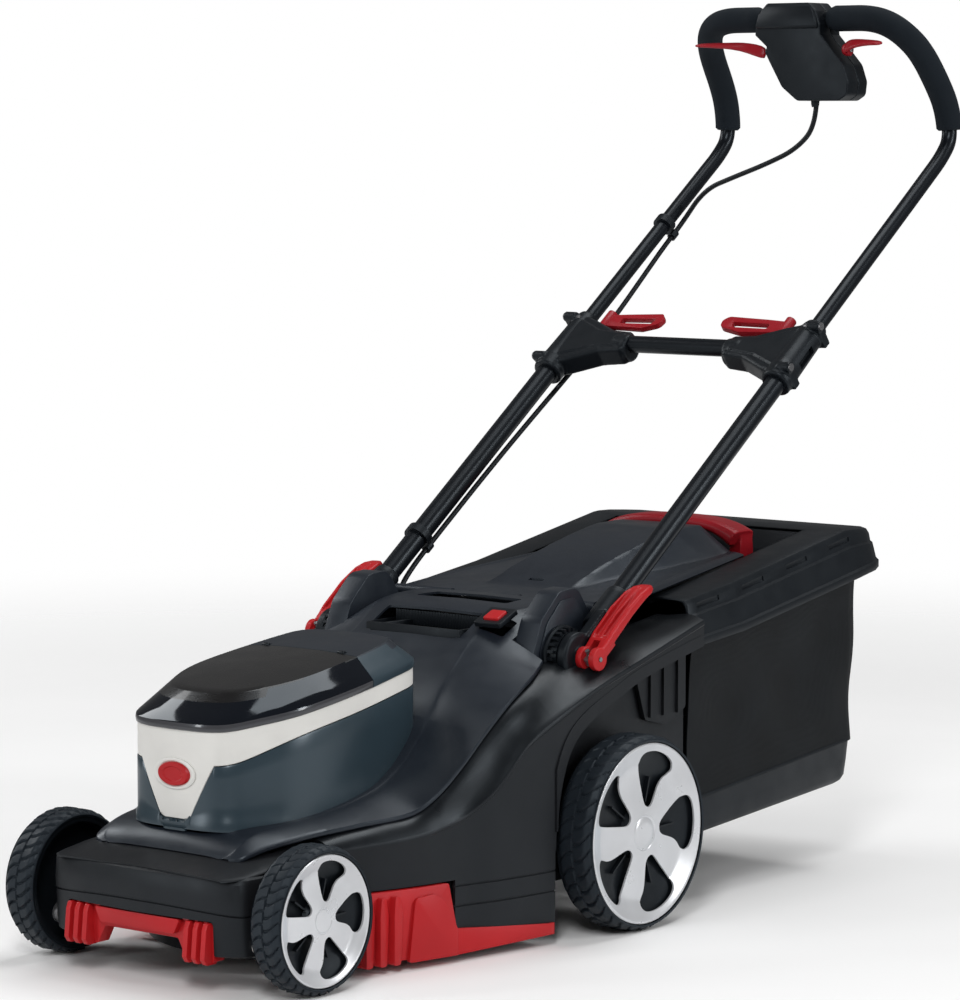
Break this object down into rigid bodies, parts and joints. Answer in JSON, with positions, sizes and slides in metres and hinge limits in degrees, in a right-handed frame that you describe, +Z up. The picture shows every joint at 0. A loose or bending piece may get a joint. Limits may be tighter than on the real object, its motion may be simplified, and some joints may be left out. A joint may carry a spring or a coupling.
{
  "type": "cordless rotary lawn mower",
  "caption": "Four-wheeled battery rotary lawn mower with hinged battery lid, folding telescopic handle, discharge flap and a textile grass box.",
  "frame": {"origin": "middle of the footprint's box, on the ground between the wheels", "axes": "+Z up, -Y the way the mower cuts, +X the mower's left-hand side"},
  "size_m": [0.4864, 1.262, 0.998],
  "materials": {
    "deck_plastic": "satin textured moulding",
    "hood_plastic": "satin slate moulding",
    "cowl_teal": "semi-gloss dark teal",
    "band_light": "satin off-white",
    "lid_black": "gloss black frame with smoked top",
    "red_plastic": "satin red",
    "dark_red": "satin deep red",
    "black_plastic": "satin black",
    "tyre_rubber": "moulded tread",
    "silver_trim": "silver paint",
    "tube_paint": "gloss black",
    "foam": "closed-cell foam",
    "bag_fabric": "black mesh textile",
    "steel": "ground",
    "zinc": "zinc plated",
    "cable_sheath": "matt black sheath",
    "motor_alloy": "cast",
    "board_green": "solder mask",
    "battery_case": "textured",
    "bush_white": "acetal"
  },
  "bodies": {
    "chassis": {"deck_shell": "deck_plastic", "side_skirts": "deck_plastic", "side_fenders": "deck_plastic", "front_bumper": "deck_plastic", "grass_combs": "red_plastic", "hood": "hood_plastic", "handle_insert": "black_plastic", "motor_cowl": "cowl_teal", "cowl_band": "band_light", "cowl_rear_cap": "cowl_teal", "battery_bay": "black_plastic", "battery_pack": "battery_case", "circuit_board": "board_green", "motor_housing": "motor_alloy", "axle_bearings": "bush_white", "handle_towers": "hood_plastic", "flap_rod": "steel"},
    "blade_rotor": {"motor_shaft": "steel", "cooling_fan": "black_plastic", "blade": "steel", "blade_bolt": "zinc"},
    "height_button": {"height_button": "red_plastic"},
    "battery_lid": {"battery_lid": "lid_black"},
    "front_axle": {"front_axle": "zinc"},
    "rear_axle": {"rear_axle": "zinc"},
    "lower_handle": {"handle_forks": "black_plastic", "frame_tubes": "tube_paint", "y_brackets": "black_plastic", "handle_bolts": "zinc", "cable_clip_lower": "black_plastic", "cable_lower": "cable_sheath"},
    "cam_lever_left": {"cam_lever_left": "red_plastic"},
    "cam_lever_right": {"cam_lever_right": "red_plastic"},
    "loop_lever_left": {"loop_lever_left": "dark_red"},
    "loop_lever_right": {"loop_lever_right": "dark_red"},
    "upper_handle": {"handlebar": "tube_paint", "foam_grips": "foam", "switch_box_front": "black_plastic", "switch_box_rear": "black_plastic", "cable_clip_upper": "black_plastic", "cable_upper": "cable_sheath"},
    "bail_lever": {"bail_lever": "dark_red"},
    "start_button": {"start_button": "black_plastic"},
    "rear_flap": {"rear_flap": "hood_plastic"},
    "grass_box": {"box_lid": "deck_plastic", "box_fabric": "bag_fabric", "box_tray": "deck_plastic", "box_handle": "dark_red"},
    "wheel_front_left": {"tyre_front_left": "tyre_rubber", "wheel_core_front_left": "black_plastic", "wheel_trim_front_left": "silver_trim"},
    "wheel_front_right": {"tyre_front_right": "tyre_rubber", "wheel_core_front_right": "black_plastic", "wheel_trim_front_right": "silver_trim"},
    "wheel_rear_left": {"tyre_rear_left": "tyre_rubber", "wheel_core_rear_left": "black_plastic", "wheel_trim_rear_left": "silver_trim"},
    "wheel_rear_right": {"tyre_rear_right": "tyre_rubber", "wheel_core_rear_right": "black_plastic", "wheel_trim_rear_right": "silver_trim"}
  },
  "joints": [
    {"name": "front_height", "type": "hinge", "parent": "chassis", "child": "front_axle", "pos_m": [0, -0.59035, 0.05], "axis": [-1, 0, 0], "range_deg": [0, 67.66]},
    {"name": "rear_height", "type": "hinge", "parent": "chassis", "child": "rear_axle", "pos_m": [0, -0.05855, 0.08], "axis": [1, 0, 0], "range_deg": [0, 67.66]},
    {"name": "blade_spin", "type": "hinge", "parent": "chassis", "child": "blade_rotor", "pos_m": [0, -0.35305, 0.038], "axis": [0, 0, 1], "continuous": true},
    {"name": "height_button_press", "type": "slide", "parent": "chassis", "child": "height_button", "axis": [0, 0.3903, -0.9207], "range_m": [0, 0.004], "stiffness_N_per_m": 400, "springref_m": -0.002},
    {"name": "battery_lid_open", "type": "hinge", "parent": "chassis", "child": "battery_lid", "pos_m": [0, -0.37205, 0.3109], "axis": [-1, 0, 0], "range_deg": [0, 75]},
    {"name": "handle_fold", "type": "hinge", "parent": "chassis", "child": "lower_handle", "pos_m": [0, -0.12805, 0.291], "axis": [1, 0, 0], "range_deg": [0, 130], "deforming": ["cable_lower"]},
    {"name": "handle_telescope", "type": "slide", "parent": "lower_handle", "child": "upper_handle", "axis": [0, -0.8078, -0.5895], "range_m": [0, 0.175], "deforming": ["cable_upper"]},
    {"name": "bail_squeeze", "type": "hinge", "parent": "upper_handle", "child": "bail_lever", "pos_m": [0, 0.51795, 0.942], "axis": [-1, 0, 0], "range_deg": [0, 14], "stiffness_Nm_per_rad": 0.5, "springref_deg": -11.46},
    {"name": "start_button_press", "type": "slide", "parent": "upper_handle", "child": "start_button", "axis": [0, -1, 0], "range_m": [0, 0.004], "stiffness_N_per_m": 300, "springref_m": -0.002},
    {"name": "flap_lift", "type": "hinge", "parent": "chassis", "child": "rear_flap", "pos_m": [0, -0.05305, 0.334], "axis": [1, 0, 0], "range_deg": [0, 80]},
    {"name": "grass_box_pull", "type": "slide", "parent": "chassis", "child": "grass_box", "axis": [0, 1, 0], "range_m": [0, 0.3]},
    {"name": "cam_lever_left_open", "type": "hinge", "parent": "lower_handle", "child": "cam_lever_left", "pos_m": [0.19, -0.12805, 0.291], "axis": [0, 0.5895, -0.8078], "range_deg": [0, 100]},
    {"name": "loop_lever_left_lift", "type": "hinge", "parent": "lower_handle", "child": "loop_lever_left", "pos_m": [0.128, 0.289, 0.59622], "axis": [0, 0.8078, 0.5895], "range_deg": [0, 90]},
    {"name": "cam_lever_right_open", "type": "hinge", "parent": "lower_handle", "child": "cam_lever_right", "pos_m": [-0.19, -0.12805, 0.291], "axis": [0, -0.5895, 0.8078], "range_deg": [0, 100]},
    {"name": "loop_lever_right_lift", "type": "hinge", "parent": "lower_handle", "child": "loop_lever_right", "pos_m": [-0.128, 0.289, 0.59622], "axis": [0, -0.8078, -0.5895], "range_deg": [0, 90]},
    {"name": "wheel_front_left_spin", "type": "hinge", "parent": "front_axle", "child": "wheel_front_left", "pos_m": [0, -0.55305, 0.075], "axis": [1, 0, 0], "continuous": true},
    {"name": "wheel_front_right_spin", "type": "hinge", "parent": "front_axle", "child": "wheel_front_right", "pos_m": [0, -0.55305, 0.075], "axis": [1, 0, 0], "continuous": true},
    {"name": "wheel_rear_left_spin", "type": "hinge", "parent": "rear_axle", "child": "wheel_rear_left", "pos_m": [0, -0.09585, 0.105], "axis": [1, 0, 0], "continuous": true},
    {"name": "wheel_rear_right_spin", "type": "hinge", "parent": "rear_axle", "child": "wheel_rear_right", "pos_m": [0, -0.09585, 0.105], "axis": [1, 0, 0], "continuous": true}
  ],
  "couplings": [
    {"joint": "front_height", "follows": "rear_height", "ratio": 1}
  ]
}
